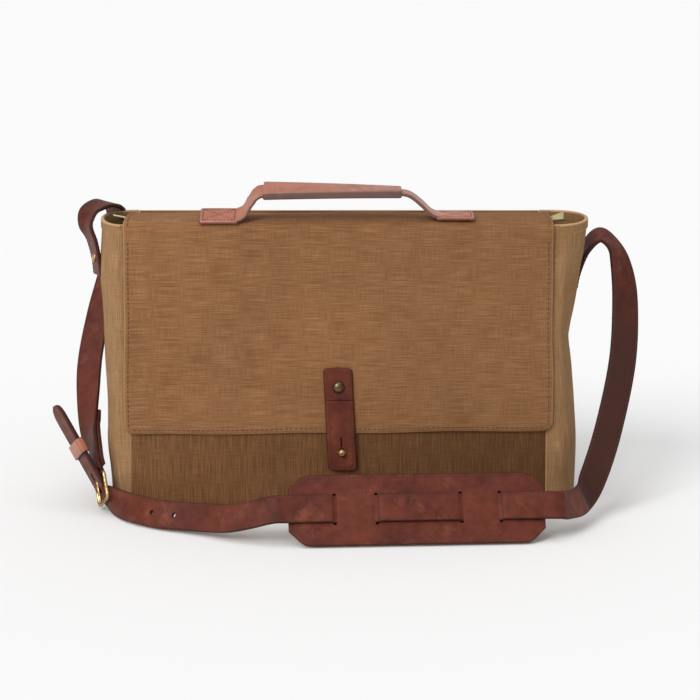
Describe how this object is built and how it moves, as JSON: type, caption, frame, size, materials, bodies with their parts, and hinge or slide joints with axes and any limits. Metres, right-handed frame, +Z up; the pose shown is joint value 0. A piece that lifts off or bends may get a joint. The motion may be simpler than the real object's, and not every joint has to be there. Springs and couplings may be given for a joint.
{
  "type": "messenger bag",
  "caption": "Waxed canvas messenger bag with a buttoned flap, a leather carry handle, and a shoulder strap with a buckle and a sliding pad.",
  "frame": {"origin": "centre of the base, on the surface that the bag stands on", "axes": "+Z up, +X to the bag's right as seen from the front, -Y out of its front"},
  "size_m": [0.5122, 0.2286, 0.2781],
  "materials": {
    "canvas": "waxed cotton canvas, matte",
    "lining": "cotton tape and felt, matte",
    "strap_leather": "oiled leather, satin",
    "handle_leather": "vegetable tanned leather, satin",
    "brass": "aged brass"
  },
  "bodies": {
    "bag_body": {"front_panel": "canvas", "back_panel": "canvas", "base_panel": "canvas", "left_gusset": "canvas", "right_gusset": "canvas", "zip_strip_front": "lining", "zip_strip_back": "lining", "zip_teeth_front": "brass", "zip_teeth_back": "brass", "zip_end_left": "lining", "zip_end_right": "lining", "zip_slider": "brass", "laptop_sleeve": "lining", "closure_stud": "brass", "stud_washer": "brass", "anchor_rivets": "brass", "anchor_washers": "brass", "long_strap": "strap_leather", "strap_tail": "strap_leather", "buckle_strap": "strap_leather", "buckle_frame": "brass"},
    "zip_pull": {"zip_pull": "brass"},
    "buckle_tongue": {"buckle_tongue": "brass"},
    "strap_keeper": {"strap_keeper": "handle_leather"},
    "shoulder_pad": {"shoulder_pad": "strap_leather", "pad_lining": "lining"},
    "flap_top": {"flap_top": "canvas", "handle_feet": "handle_leather"},
    "flap_front": {"flap_front": "canvas", "closure_anchor": "strap_leather", "closure_rivet": "brass"},
    "closure_tab": {"closure_tab": "strap_leather"},
    "handle": {"handle_strap": "handle_leather", "grip_sleeve": "handle_leather"}
  },
  "joints": [
    {"name": "flap_hinge", "type": "hinge", "parent": "bag_body", "child": "flap_top", "pos_m": [0, 0.0525, 0.2475], "axis": [-1, 0, 0], "range_deg": [0, 180]},
    {"name": "flap_fold", "type": "hinge", "parent": "flap_top", "child": "flap_front", "pos_m": [0, -0.0184, 0.2372], "axis": [-1, 0, 0], "range_deg": [0, 90]},
    {"name": "closure_lift", "type": "hinge", "parent": "flap_front", "child": "closure_tab", "pos_m": [0.003, -0.044, 0.096], "axis": [-1, 0, 0], "range_deg": [0, 100]},
    {"name": "handle_tilt", "type": "hinge", "parent": "flap_top", "child": "handle", "pos_m": [0, -0.007, 0.256], "axis": [1, 0, 0], "range_deg": [-25, 25], "stiffness_Nm_per_rad": 0.06},
    {"name": "pad_slide", "type": "slide", "parent": "bag_body", "child": "shoulder_pad", "axis": [0.9982, 0.0593, 0], "range_m": [-0.008, 0.008]},
    {"name": "keeper_slide", "type": "slide", "parent": "bag_body", "child": "strap_keeper", "axis": [-0.506, 0.2838, 0.8145], "range_m": [-0.012, 0.02]},
    {"name": "tongue_hinge", "type": "hinge", "parent": "bag_body", "child": "buckle_tongue", "pos_m": [-0.20929, -0.04101, 0.03065], "axis": [-0.351, 0.7948, -0.495], "range_deg": [0, 50]},
    {"name": "zip_pull_swing", "type": "hinge", "parent": "bag_body", "child": "zip_pull", "pos_m": [-0.158, 0.0272, 0.2428], "axis": [-1, 0, 0], "range_deg": [-15, 70]}
  ]
}
